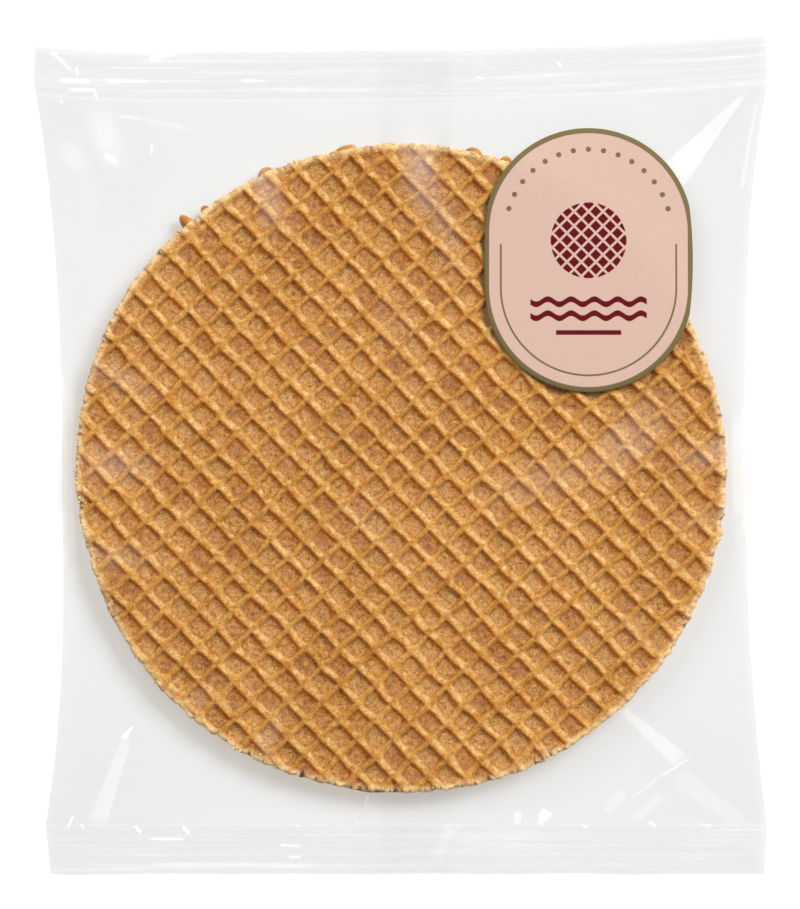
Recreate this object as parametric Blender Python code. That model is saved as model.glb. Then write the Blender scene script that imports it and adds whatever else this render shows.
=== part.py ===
"""A large round syrup waffle sealed in a clear flow-wrap bag, lying flat, with a sticker on its front.

Units are metres, +Z is up. X runs across the bag and Y along it, from end seal to end seal. The
origin is on the table, under the middle of the bag. The bag is one closed solid: film and waffle
together, from the flat underside to the film stretched over the waffle's top.
"""

import math

import bmesh
import bpy

COLLECTION_NAME = "wrapped_syrup_waffle"
CUTTER_COLLECTION_NAME = "wrapped_syrup_waffle_cutters"

# The waffle inside, which gives the bag its round flat top.
WAFFLE_RADIUS = 0.0704
WAFFLE_CENTRE = (0.0001, -0.0031)
PACK_THICKNESS = 0.0062

# The bag's outline. -1 is the left side or the bottom end, 1 is the right side or the top end.
CUT_HALF_LENGTH = 0.0905
SEAL_LENGTH = 0.0105
END_HALF_WIDTH = {(-1, -1): 0.0764, (-1, 1): 0.0789, (1, -1): 0.0791, (1, 1): 0.0792}
CUT_INSET = {(-1, -1): 0.0011, (-1, 1): 0.0002, (1, -1): 0.0005, (1, 1): 0.0003}
WAIST_HALF_WIDTH = {-1: 0.0726, 1: 0.0744}
WAIST_PLACE = {-1: -0.0280, 1: 0.0040}
FLARE_POWER = {-1: 2.2, 1: 3.0}
TOP_CUT_DROP = 0.0037
TOP_CUT_BEND = 3.6
TOP_LEFT_RISE = 0.0013
TOP_LEFT_RISE_RUN = 0.0260

# The film's own form: side folds and end seals float just above the table.
FOLD_HEIGHT = 0.0016
FOLD_THICKNESS = 0.0004
RIM_ROUNDING = 0.12
RIM_REACH = 0.3
UNDERSIDE_FLAT = 0.2
UNDERSIDE_POWER = 2.0

# Crimped ribs across both end seals.
RIBS_PER_SEAL = 4
RIB_HEIGHT = 0.00012

# How finely the bag's skin is divided.
WIDTH_STEPS = 36
BODY_STEPS = 36

# The sticker: a stadium, two half circles joined by straight sides.
LABEL_CENTRE = (0.0405, 0.0418)
LABEL_RADIUS = 0.02245
LABEL_STRAIGHT = 0.0119
LABEL_THICKNESS = 0.0003
LABEL_GAP = 0.0003
LABEL_ARC_STEPS = 20
LABEL_STEPS = (12, 14)
LABEL_MARGIN = 0.0010

# How far around the sticker, and how much, its stiffness keeps the film level.
LABEL_HOLD = 0.0090
LABEL_STIFFNESS = 0.5

FILM_COLOUR = (0.90, 0.91, 0.91, 1.0)
LABEL_COLOUR = (0.76, 0.50, 0.40, 1.0)


def clear_scene():
    for scene_object in list(bpy.data.objects):
        bpy.data.objects.remove(scene_object, do_unlink=True)


def new_collection(name):
    collection = bpy.data.collections.new(name)
    bpy.context.scene.collection.children.link(collection)
    return collection


def new_material(name, colour, roughness, alpha=1.0):
    material = bpy.data.materials.new(name)
    material.use_nodes = True
    shader = material.node_tree.nodes["Principled BSDF"]
    shader.inputs["Base Color"].default_value = colour
    shader.inputs["Roughness"].default_value = roughness
    shader.inputs["Metallic"].default_value = 0.0
    shader.inputs["Alpha"].default_value = alpha
    return material


def mesh_object(name, shape, collection, material=None):
    """Turn a bmesh into a named object with its faces pointing out."""
    bmesh.ops.recalc_face_normals(shape, faces=shape.faces)
    mesh = bpy.data.meshes.new(name)
    shape.to_mesh(mesh)
    shape.free()
    if material:
        mesh.materials.append(material)
    new_object = bpy.data.objects.new(name, mesh)
    collection.objects.link(new_object)
    return new_object


def side_edge(side, y):
    """X of the bag's left (-1) or right (1) edge at a place along the bag, waisted between the seals."""
    end = 1 if y > WAIST_PLACE[side] else -1
    seal_line = CUT_HALF_LENGTH - SEAL_LENGTH
    share = min(end * (y - WAIST_PLACE[side]) / (seal_line - end * WAIST_PLACE[side]), 1.0)
    into_seal = min(max((end * y - seal_line) / SEAL_LENGTH, 0.0), 1.0)
    flare = (END_HALF_WIDTH[side, end] - WAIST_HALF_WIDTH[side]) * share ** FLARE_POWER[end]
    return side * (WAIST_HALF_WIDTH[side] + flare - CUT_INSET[side, end] * into_seal)


def top_cut(x):
    """Y of the cut edge of the top seal, which rises to the right corner and a little to the left one."""
    across = min(max(0.5 + 0.5 * x / END_HALF_WIDTH[1, 1], 0.0), 1.0)
    left = min(max(1.0 - (x + END_HALF_WIDTH[-1, 1]) / TOP_LEFT_RISE_RUN, 0.0), 1.0)
    return CUT_HALF_LENGTH - TOP_CUT_DROP * (1.0 - across ** TOP_CUT_BEND) + TOP_LEFT_RISE * left ** 2


def bottom_cut():
    return -CUT_HALF_LENGTH


def rib_wave(depth_into_seal):
    """Zigzag of the crimped ribs: zero at the cut and at the inner line of the seal."""
    phase = depth_into_seal / SEAL_LENGTH * RIBS_PER_SEAL
    return RIB_HEIGHT * math.sin(2.0 * math.pi * phase)


def round_off(share):
    """Bend a share over smoothly where it passes 1, at the waffle's rim."""
    return 0.5 * (1.0 + share - math.hypot(1.0 - share, RIM_ROUNDING))


def label_distance(x, y):
    """Distance outside the sticker's outline; negative on the sticker."""
    beyond = max(abs(y - LABEL_CENTRE[1]) - LABEL_STRAIGHT / 2, 0.0)
    return math.hypot(x - LABEL_CENTRE[0], beyond) - LABEL_RADIUS


def tent_share(x, y):
    """How high the film stands: 1 over the waffle, 0 at the side folds and the seals' inner lines."""
    side_room = max(min(x - side_edge(-1, y), side_edge(1, y) - x), 0.0)
    end_room = max(min(y - bottom_cut(), top_cut(x) - y) - SEAL_LENGTH, 0.0)
    if side_room == 0.0 or end_room == 0.0:
        return 0.0
    room = side_room * end_room / math.hypot(side_room, end_room)
    beyond_waffle = math.hypot(x - WAFFLE_CENTRE[0], y - WAFFLE_CENTRE[1]) - WAFFLE_RADIUS
    share = room / (room + max(beyond_waffle, -RIM_REACH * room))
    rounded = max(round_off(share) / round_off(1.0 / (1.0 - RIM_REACH)), 0.0)
    held = min(max(1.0 - label_distance(x, y) / LABEL_HOLD, 0.0), 1.0)
    return rounded + (1.0 - rounded) * LABEL_STIFFNESS * held ** 2 * (3.0 - 2.0 * held)


def seal_wave(x, y):
    depth = max(SEAL_LENGTH - (y - bottom_cut()), SEAL_LENGTH - (top_cut(x) - y))
    return rib_wave(depth) if depth > 0.0 else 0.0


def film_top(x, y):
    """Height of the bag's upper film."""
    fold_top = FOLD_HEIGHT + FOLD_THICKNESS / 2 + seal_wave(x, y)
    return fold_top + (PACK_THICKNESS - fold_top) * tent_share(x, y)


def film_underside(x, y):
    """Height of the bag's lower film, flat on the table under the waffle."""
    fold_bottom = FOLD_HEIGHT - FOLD_THICKNESS / 2 + seal_wave(x, y)
    lift = max(0.0, 1.0 - tent_share(x, y) - UNDERSIDE_FLAT) / (1.0 - UNDERSIDE_FLAT)
    return fold_bottom * lift ** UNDERSIDE_POWER


def skin_rows():
    """Shares of the bag's length at which its skin is divided, finer across the two seals."""
    seal_share = SEAL_LENGTH / (2 * CUT_HALF_LENGTH)
    seal_steps = 2 * RIBS_PER_SEAL
    near_end = [seal_share * (step + 0.5 * (0 < step < seal_steps)) / seal_steps
                for step in range(seal_steps)]
    body = [seal_share + (1 - 2 * seal_share) * step / BODY_STEPS for step in range(BODY_STEPS + 1)]
    far_end = [1 - share for share in reversed(near_end)]
    return near_end + body + far_end


def make_bag(collection):
    """Closed pillow with thin sealed ends, bent from a flat sheet and its extruded copy."""
    rows = skin_rows()
    shape = bmesh.new()
    bmesh.ops.create_grid(shape, x_segments=WIDTH_STEPS, y_segments=len(rows) - 1, size=0.5)
    lower_vertices = list(shape.verts)
    extruded = bmesh.ops.extrude_face_region(shape, geom=list(shape.faces))
    upper_vertices = [item for item in extruded["geom"] if isinstance(item, bmesh.types.BMVert)]

    for vertices, height in ((lower_vertices, film_underside), (upper_vertices, film_top)):
        for vertex in vertices:
            across = vertex.co.x + 0.5
            row = rows[round((vertex.co.y + 0.5) * (len(rows) - 1))]
            ends = [side_edge(side, CUT_HALF_LENGTH) for side in (-1, 1)]
            x = ends[0] + (ends[1] - ends[0]) * across
            y = bottom_cut() + (top_cut(x) - bottom_cut()) * row
            x = side_edge(-1, y) + (side_edge(1, y) - side_edge(-1, y)) * across
            vertex.co = (x, y, height(x, y))

    film = new_material("clear_film", FILM_COLOUR, 0.1, alpha=0.35)
    return mesh_object("film_bag", shape, collection, film)


def make_label_cutter(collection):
    """Upright stadium prism that trims the sticker to its outline."""
    shape = bmesh.new()
    ring = []
    for end, start_angle in ((1, 0.0), (-1, math.pi)):
        for step in range(LABEL_ARC_STEPS + 1):
            angle = start_angle + math.pi * step / LABEL_ARC_STEPS
            x = LABEL_CENTRE[0] + LABEL_RADIUS * math.cos(angle)
            y = LABEL_CENTRE[1] + end * LABEL_STRAIGHT / 2 + LABEL_RADIUS * math.sin(angle)
            ring.append(shape.verts.new((x, y, 0.0)))
    outline = shape.faces.new(ring)
    raised = bmesh.ops.extrude_face_region(shape, geom=[outline])
    for item in raised["geom"]:
        if isinstance(item, bmesh.types.BMVert):
            item.co.z = 2 * PACK_THICKNESS
    cutter = mesh_object("label_outline", shape, collection)
    cutter.hide_render = True
    cutter.display_type = "WIRE"
    return cutter


def make_label(collection, cutter):
    """Thin plate that follows the upper film, trimmed to a stadium."""
    half_width = LABEL_RADIUS + LABEL_MARGIN
    half_height = LABEL_RADIUS + LABEL_STRAIGHT / 2 + LABEL_MARGIN
    shape = bmesh.new()
    bmesh.ops.create_grid(shape, x_segments=LABEL_STEPS[0], y_segments=LABEL_STEPS[1], size=1.0)
    lower_vertices = list(shape.verts)
    extruded = bmesh.ops.extrude_face_region(shape, geom=list(shape.faces))
    upper_vertices = [item for item in extruded["geom"] if isinstance(item, bmesh.types.BMVert)]

    for vertices, lift in ((lower_vertices, LABEL_GAP), (upper_vertices, LABEL_GAP + LABEL_THICKNESS)):
        for vertex in vertices:
            x = LABEL_CENTRE[0] + vertex.co.x * half_width
            y = LABEL_CENTRE[1] + vertex.co.y * half_height
            vertex.co = (x, y, film_top(x, y) + lift)

    paper = new_material("label_print", LABEL_COLOUR, 0.5)
    label = mesh_object("label", shape, collection, paper)
    trim = label.modifiers.new("trim_to_outline", "BOOLEAN")
    trim.operation = "INTERSECT"
    trim.object = cutter
    return label


def main():
    clear_scene()
    parts = new_collection(COLLECTION_NAME)
    cutters = new_collection(CUTTER_COLLECTION_NAME)
    make_bag(parts)
    make_label(parts, make_label_cutter(cutters))


main()
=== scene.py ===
"""Looks for a large round syrup waffle sealed in a clear flow-wrap bag with a sticker on its front."""

import math

import bmesh
import bpy
import numpy as np
from mathutils import Matrix, Vector


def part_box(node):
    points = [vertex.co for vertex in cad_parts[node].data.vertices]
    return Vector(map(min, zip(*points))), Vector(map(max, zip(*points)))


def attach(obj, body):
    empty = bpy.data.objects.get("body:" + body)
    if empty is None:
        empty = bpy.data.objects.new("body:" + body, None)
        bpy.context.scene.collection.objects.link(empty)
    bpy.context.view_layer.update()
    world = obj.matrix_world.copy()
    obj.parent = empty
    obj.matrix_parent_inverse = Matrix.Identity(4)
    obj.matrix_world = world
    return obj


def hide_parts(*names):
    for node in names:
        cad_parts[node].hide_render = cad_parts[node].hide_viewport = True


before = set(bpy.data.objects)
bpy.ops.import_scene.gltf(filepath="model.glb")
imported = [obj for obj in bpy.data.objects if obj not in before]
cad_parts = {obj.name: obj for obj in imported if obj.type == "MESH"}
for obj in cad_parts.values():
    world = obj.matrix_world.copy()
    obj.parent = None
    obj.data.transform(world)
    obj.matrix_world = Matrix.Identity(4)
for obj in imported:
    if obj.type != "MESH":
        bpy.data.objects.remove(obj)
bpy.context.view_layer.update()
scene = bpy.context.scene

MM = 0.001

# ---------------------------------------------------------------------------------------------
# Sizes, in metres
# ---------------------------------------------------------------------------------------------
bag_low, bag_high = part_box("film_bag")

WAFFLE_RADIUS = 70.4 * MM
WAFFLE_CENTRE = (0.1 * MM, -3.1 * MM)
WAFER_INSET = (0.50 * MM, 1.20 * MM)
BOTTOM_WAFER_Z = (0.20 * MM, 2.25 * MM)
SYRUP_Z = (2.15 * MM, 3.75 * MM)
TOP_WAFER_Z = (3.65 * MM, 5.65 * MM)

# The iron's grid: two families of ribs, each with its pitch, the way its steps run, and where its
# first rib lies (in cells from the waffle's middle). The plates are worn, so the rows bow a little.
RIBS_A = {"pitch": 5.36 * MM, "turn": math.radians(43.7), "shift": 0.244, "bow": (0.034, -0.011, -0.085)}
RIBS_B = {"pitch": 5.41 * MM, "turn": math.radians(-46.2), "shift": 0.426, "bow": (-0.132, 0.028, -0.180)}
CELLS_ACROSS = 28
PIT_DEPTH = 1.22 * MM
RIB_B_HEIGHT = 0.87

# Syrup pressed out at the rim: where each drop sits (degrees from +X), how far it reaches past the
# syrup's edge, and how wide it is along the edge.
SYRUP_INSET = 0.9 * MM
SYRUP_DROPS = (
    (131.0, 2.7 * MM, 1.35 * MM),
    (127.0, 1.5 * MM, 1.1 * MM),
    (114.6, 1.3 * MM, 1.8 * MM),
    (99.7, 1.4 * MM, 2.6 * MM),
    (77.0, 1.6 * MM, 2.0 * MM),
    (71.0, 1.4 * MM, 1.4 * MM),
)

# The bag's outline. -1 is the left side or the bottom end, 1 is the right side or the top end.
CUT_HALF_LENGTH = -bag_low.y
SEAL_LENGTH = 10.5 * MM
END_HALF_WIDTH = {(-1, -1): 76.4 * MM, (-1, 1): 78.9 * MM, (1, -1): 79.1 * MM, (1, 1): 79.2 * MM}
CUT_INSET = {(-1, -1): 1.1 * MM, (-1, 1): 0.2 * MM, (1, -1): 0.5 * MM, (1, 1): 0.3 * MM}
WAIST_HALF_WIDTH = {-1: 72.6 * MM, 1: 74.4 * MM}
WAIST_PLACE = {-1: -28.0 * MM, 1: 4.0 * MM}
FLARE_POWER = {-1: 2.2, 1: 3.0}
TOP_CUT_DROP = 3.7 * MM
TOP_CUT_BEND = 3.6
TOP_LEFT_RISE = (1.3 * MM, 26.0 * MM)

# The film's own form.
FILM_OVER_WAFFLE = 6.05 * MM
FILM_UNDER_WAFFLE = 0.12 * MM
FOLD_HEIGHT = 1.6 * MM
SEAL_THICKNESS = 0.16 * MM
RIM_ROUNDING = 0.12
RIM_REACH = 0.3
UNDERSIDE_FLAT = 0.2
RIBS_PER_SEAL = 5
RIB_HEIGHT = 0.10 * MM
FILM_STEPS_ACROSS = 190
FILM_BODY_STEPS = 165
FILM_SEAL_STEPS = 30
FIN_EDGES = (-4.8 * MM, 11.0 * MM)
FILM_CLEARNESS = (0.952, 0.075)

# The sticker: a stadium, two half circles joined by straight sides.
LABEL_CENTRE = (40.5 * MM, 41.8 * MM)
LABEL_RADIUS = 22.45 * MM
LABEL_STRAIGHT = 11.9 * MM
LABEL_THICKNESS = 0.14 * MM
LABEL_GAP = 0.12 * MM
LABEL_HOLD = 9.0 * MM
LABEL_STIFFNESS = 0.5

# Painted highlights and glints on the film's folded facets beyond the waffle, by corner, in millimetres: start, end,
# width at each end, how soft the sides are (share of the half width) and how strong the painted highlight is.
FACETS = {
    "upper_left": (
        ((-75.6, 87.3), (-70.4, 82.5), (1.4, 0.8), 0.5, 0.25),
        ((-70.0, 83.6), (-69.4, 81.8), (0.9, 0.7), 0.6, 0.35),
        ((-73.4, 80.7), (-66.5, 80.4), (1.5, 1.2), 0.9, 0.45),
        ((-71.7, 78.6), (-65.2, 78.6), (0.9, 0.9), 0.9, 0.45),
        ((-65.9, 78.2), (-65.2, 76.7), (0.9, 0.7), 0.8, 0.45),
        ((-64.5, 83.4), (-44.0, 83.4), (0.9, 0.6), 0.9, 0.18),
        ((-63.6, 80.5), (-54.0, 80.5), (1.4, 1.0), 0.9, 0.24),
        ((-58.0, 80.5), (-42.0, 80.6), (1.0, 0.6), 0.9, 0.08),
        ((-73.4, 76.4), (-72.4, 75.8), (0.9, 0.9), 0.9, 0.35),
        ((-54.4, 85.1), (-48.4, 86.4), (1.6, 0.8), 0.4, 0.35),
        ((-61.2, 73.0), (-55.6, 72.3), (1.1, 1.0), 0.9, 0.18),
        ((-56.2, 72.4), (-45.0, 70.0), (1.2, 1.9), 0.9, 0.09),
        ((-53.4, 67.2), (-53.6, 64.4), (0.5, 0.8), 0.5, 0.26),
        ((-63.8, 64.8), (-60.8, 62.6), (2.4, 2.2), 0.9, 0.22),
        ((-34.2, 80.6), (-28.6, 80.6), (1.3, 0.3), 0.7, 0.36),
    ),
    "upper_right": (
        ((75.4, 79.1), (56.8, 57.7), (0.4, 7.6), 0.15, 0.17),
        ((77.0, 77.0), (73.4, 56.0), (0.9, 1.4), 0.5, 0.13),
        ((34.0, 84.7), (34.8, 83.4), (0.9, 0.4), 0.5, 0.80),
        ((31.2, 82.1), (32.3, 81.5), (0.7, 0.4), 0.5, 0.60),
        ((16.6, 81.4), (18.2, 81.0), (0.8, 0.4), 0.5, 0.60),
        ((1.0, 77.9), (30.0, 77.8), (0.6, 0.4), 0.8, 0.15),
    ),
    "lower_left": (
        ((-57.4, -58.3), (-59.8, -61.5), (0.3, 1.4), 0.2, 0.90),
        ((-58.5, -60.4), (-65.8, -81.0), (2.2, 4.6), 0.25, 0.18),
        ((-70.4, -77.8), (-71.7, -80.6), (0.5, 0.5), 0.4, 0.90),
        ((-68.9, -79.6), (-68.1, -80.8), (0.5, 0.5), 0.4, 0.60),
        ((-57.2, -80.0), (-55.9, -81.6), (0.6, 0.8), 0.4, 0.90),
        ((-46.9, -80.1), (-45.4, -81.8), (0.7, 1.0), 0.4, 0.90),
        ((-54.4, -82.9), (-46.2, -82.9), (0.7, 0.9), 0.6, 0.35),
        ((-55.6, -88.4), (-16.0, -88.6), (1.5, 1.3), 0.7, 0.25),
        ((-6.8, -73.0), (-7.9, -78.0), (0.9, 0.9), 0.6, 0.30),
        ((-7.6, -77.4), (-10.2, -79.8), (0.9, 0.6), 0.5, 0.50),
        ((-22.8, -79.6), (-21.3, -80.2), (0.8, 0.6), 0.5, 0.70),
        ((-26.4, -84.2), (-21.3, -84.4), (0.7, 0.9), 0.6, 0.40),
        ((-24.2, -86.8), (-21.3, -86.8), (0.7, 0.8), 0.6, 0.45),
    ),
    "lower_right": (
        ((47.4, -54.4), (61.2, -66.6), (1.8, 4.6), 0.35, 0.20),
        ((58.8, -68.3), (75.0, -80.6), (5.6, 4.6), 0.6, 0.10),
        ((63.0, -65.2), (56.0, -69.3), (0.4, 1.0), 0.7, 0.28),
        ((56.0, -69.3), (49.4, -74.6), (0.9, 0.7), 0.8, 0.20),
        ((48.6, -72.0), (44.0, -77.6), (3.6, 3.2), 0.9, 0.17),
        ((56.5, -73.0), (50.0, -79.6), (3.4, 2.6), 0.8, 0.16),
        ((25.6, -76.7), (25.1, -79.9), (2.4, 1.6), 0.5, 0.90),
        ((31.9, -76.5), (29.9, -79.9), (3.4, 1.8), 0.5, 0.95),
        ((17.8, -77.3), (19.8, -78.7), (0.6, 0.5), 0.5, 0.30),
        ((3.0, -79.6), (14.0, -80.0), (0.7, 0.5), 0.6, 0.35),
        ((39.0, -79.7), (40.4, -80.5), (0.7, 0.6), 0.5, 0.60),
        ((53.8, -79.0), (55.2, -80.4), (0.8, 0.8), 0.5, 0.80),
        ((64.6, -79.8), (67.4, -80.1), (0.8, 0.6), 0.6, 0.30),
        ((12.0, -77.0), (7.8, -88.0), (3.0, 5.0), 0.9, 0.10),
    ),
}

# Soft bands where the film is stretched over the waffle's rim, each with a painted highlight: start, end, width,
# strength of the painted highlight.
PULLS = (
    ((-66.5, 77.0), (-60.0, 59.0), 10.0, 0.17),
    ((-73.5, 68.0), (-67.0, 60.0), 8.0, 0.18),
    ((-67.5, 64.0), (-66.5, 44.0), 8.0, 0.06),
    ((2.0, 75.0), (6.5, 48.0), 12.0, 0.155),
    ((8.0, 60.0), (12.0, 36.0), 9.0, 0.06),
    ((-31.5, 66.0), (-25.5, 46.0), 10.0, 0.12),
    ((-4.0, 40.0), (3.0, 16.0), 13.0, 0.03),
    ((-72.0, 21.0), (-50.0, 13.0), 9.0, 0.06),
    ((-73.0, -1.0), (-50.0, -3.0), 13.0, 0.08),
    ((-72.0, -22.0), (-50.0, -22.0), 9.0, 0.06),
    ((-50.0, -60.0), (-37.0, -46.0), 8.0, 0.03),
    ((-32.0, -70.0), (-24.0, -52.0), 7.0, 0.05),
    ((-15.0, -9.0), (-1.0, -19.0), 12.0, 0.02),
    ((60.0, 14.0), (39.0, -8.0), 17.0, 0.08),
    ((76.0, 1.0), (56.0, -1.0), 12.0, 0.07),
    ((45.0, -2.0), (15.0, -10.0), 14.0, 0.05),
    ((74.0, -12.0), (56.0, -16.0), 8.0, 0.03),
    ((59.0, -41.0), (41.0, -34.0), 9.0, 0.02),
)


# ---------------------------------------------------------------------------------------------
# Wiring: short ways to add and join nodes
# ---------------------------------------------------------------------------------------------
class Wiring:
    """Adds nodes to a tree. A value is a number, a vector, a colour or another node's output."""

    def __init__(self, tree):
        self.tree = tree

    def feed(self, socket, value):
        if isinstance(value, bpy.types.NodeSocket):
            self.tree.links.new(value, socket)
        elif value is not None:
            socket.default_value = value

    def node(self, kind, inputs=None, **settings):
        new = self.tree.nodes.new(kind)
        for name, value in settings.items():
            setattr(new, name, value)
        for name, value in (inputs or {}).items():
            self.feed(new.inputs[name], value)
        return new

    def math(self, operation, *values, clamp=False):
        new = self.node("ShaderNodeMath", operation=operation, use_clamp=clamp)
        for socket, value in zip(new.inputs, values):
            self.feed(socket, value)
        return new.outputs[0]

    def add(self, *values):
        total = values[0]
        for value in values[1:]:
            total = self.math("ADD", total, value)
        return total

    def times(self, *values):
        product = values[0]
        for value in values[1:]:
            product = self.math("MULTIPLY", product, value)
        return product

    def less(self, first, second):
        return self.math("SUBTRACT", first, second)

    def vector(self, operation, *values, scale=None):
        new = self.node("ShaderNodeVectorMath", operation=operation)
        for socket, value in zip(new.inputs, values):
            self.feed(socket, value)
        if scale is not None:
            self.feed(new.inputs["Scale"], scale)
        return new.outputs["Value" if operation in ("LENGTH", "DOT_PRODUCT", "DISTANCE") else "Vector"]

    def split(self, vector):
        return self.node("ShaderNodeSeparateXYZ", {"Vector": vector}).outputs

    def join(self, x, y, z):
        return self.node("ShaderNodeCombineXYZ", {"X": x, "Y": y, "Z": z}).outputs[0]

    def ramp(self, value, start, end, low=0.0, high=1.0, smooth=True):
        """value runs from start to end; the result runs from low to high and is held outside."""
        new = self.node("ShaderNodeMapRange", {"Value": value, "From Min": start, "From Max": end,
                                               "To Min": low, "To Max": high})
        new.interpolation_type = "SMOOTHSTEP" if smooth else "LINEAR"
        return new.outputs["Result"]

    def noise(self, place, size, detail=2.0, roughness=0.5, distortion=0.0):
        """Noise whose blotches are about as wide as size, in metres."""
        return self.node("ShaderNodeTexNoise", {"Vector": place, "Scale": 1.0 / size, "Detail": detail,
                                                "Roughness": roughness, "Distortion": distortion}).outputs

    def mix(self, share, first, second, blend="MIX"):
        new = self.node("ShaderNodeMix", data_type="RGBA", blend_type=blend)
        self.feed(new.inputs["Factor"], share)
        self.feed(new.inputs[6], first)
        self.feed(new.inputs[7], second)
        return new.outputs[2]

    def mix_shader(self, share, first, second):
        new = self.node("ShaderNodeMixShader", {"Fac": share})
        self.tree.links.new(first, new.inputs[1])
        self.tree.links.new(second, new.inputs[2])
        return new.outputs[0]


def new_tree(name, kind, inputs, outputs):
    """A node group with named sockets: {name: (socket type, start value)}."""
    tree = bpy.data.node_groups.new(name, kind)
    for in_out, sockets in (("INPUT", inputs), ("OUTPUT", outputs)):
        for socket_name, (socket_kind, value) in sockets.items():
            socket = tree.interface.new_socket(socket_name, in_out=in_out, socket_type=socket_kind)
            if value is not None:
                socket.default_value = value
    wiring = Wiring(tree)
    start = wiring.node("NodeGroupInput").outputs
    end = wiring.node("NodeGroupOutput").inputs
    return tree, wiring, start, end


def run_tree(name, tree, values, base=None):
    """Run a Geometry Nodes tree with its named inputs and keep the result as a plain mesh object."""
    piece = bpy.data.objects.new(name, base or bpy.data.meshes.new(name))
    scene.collection.objects.link(piece)
    modifier = piece.modifiers.new("make", "NODES")
    modifier.node_group = tree
    for item in tree.interface.items_tree:
        if item.item_type == "SOCKET" and item.in_out == "INPUT" and item.name in values:
            modifier[item.identifier] = values[item.name]
    depsgraph = bpy.context.evaluated_depsgraph_get()
    mesh = bpy.data.meshes.new_from_object(piece.evaluated_get(depsgraph), preserve_all_data_layers=True,
                                           depsgraph=depsgraph)
    piece.modifiers.remove(modifier)
    piece.data = mesh
    mesh.name = name
    return piece


def face_out(mesh):
    """Point a closed mesh's faces outwards."""
    shape = bmesh.new()
    shape.from_mesh(mesh)
    bmesh.ops.recalc_face_normals(shape, faces=shape.faces)
    shape.to_mesh(mesh)
    shape.free()


def finish_piece(piece, replaced=()):
    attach(piece, "root")
    if replaced:
        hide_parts(*replaced)


def new_material(name):
    material = bpy.data.materials.new(name)
    material.use_nodes = True
    material.node_tree.nodes.clear()
    wiring = Wiring(material.node_tree)
    output = wiring.node("ShaderNodeOutputMaterial").inputs["Surface"]
    return material, wiring, output


def srgb(red, green, blue):
    """Colour given as 0 to 255, as a paint chart does, to the linear values a shader takes."""
    def linear(value):
        value /= 255.0
        return value / 12.92 if value <= 0.04045 else ((value + 0.055) / 1.055) ** 2.4
    return (linear(red), linear(green), linear(blue), 1.0)


def mesh_piece(name, vertices, faces, material, sharp_from=None):
    mesh = bpy.data.meshes.new(name)
    mesh.from_pydata(vertices, [], faces)
    mesh.materials.append(material)
    face_out(mesh)
    mesh.shade_smooth()
    if sharp_from:
        mesh.set_sharp_from_angle(angle=math.radians(sharp_from))
    piece = bpy.data.objects.new(name, mesh)
    scene.collection.objects.link(piece)
    return piece


def ringed_piece(name, rings, material):
    """Closed shape from stacked rings of equally many points, its first and last ring shut to a point."""
    per_ring = len(rings[0])
    points = np.concatenate([*rings, [rings[0].mean(0)], [rings[-1].mean(0)]])
    first_hub, last_hub = len(points) - 2, len(points) - 1
    faces = []
    for step in range(per_ring):
        after = (step + 1) % per_ring
        for ring in range(len(rings) - 1):
            low, high = ring * per_ring, (ring + 1) * per_ring
            faces.append((low + step, low + after, high + after, high + step))
        faces.append((step, first_hub, after))
        last = (len(rings) - 1) * per_ring
        faces.append((last + step, last + after, last_hub))
    return mesh_piece(name, points.tolist(), faces, material)


def sheet_pair_piece(name, x, y, upper, lower, material):
    """Closed slab between an upper and a lower height, on a grid of plan places."""
    rows, columns = x.shape
    points = np.concatenate([np.stack((x, y, z), axis=-1).reshape(-1, 3) for z in (upper, lower)])
    index = np.arange(rows * columns).reshape(rows, columns)
    quads = np.stack((index[:-1, :-1], index[:-1, 1:], index[1:, 1:], index[1:, :-1]), axis=-1).reshape(-1, 4)
    under = quads[:, ::-1] + rows * columns
    border = np.concatenate((index[0, :-1], index[:-1, -1], index[-1, :0:-1], index[:0:-1, 0]))
    after = np.roll(border, -1)
    walls = np.stack((after, border, border + rows * columns, after + rows * columns), axis=-1)
    faces = np.concatenate((quads, under, walls)).tolist()
    return mesh_piece(name, points.tolist(), faces, material, sharp_from=50.0)


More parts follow.
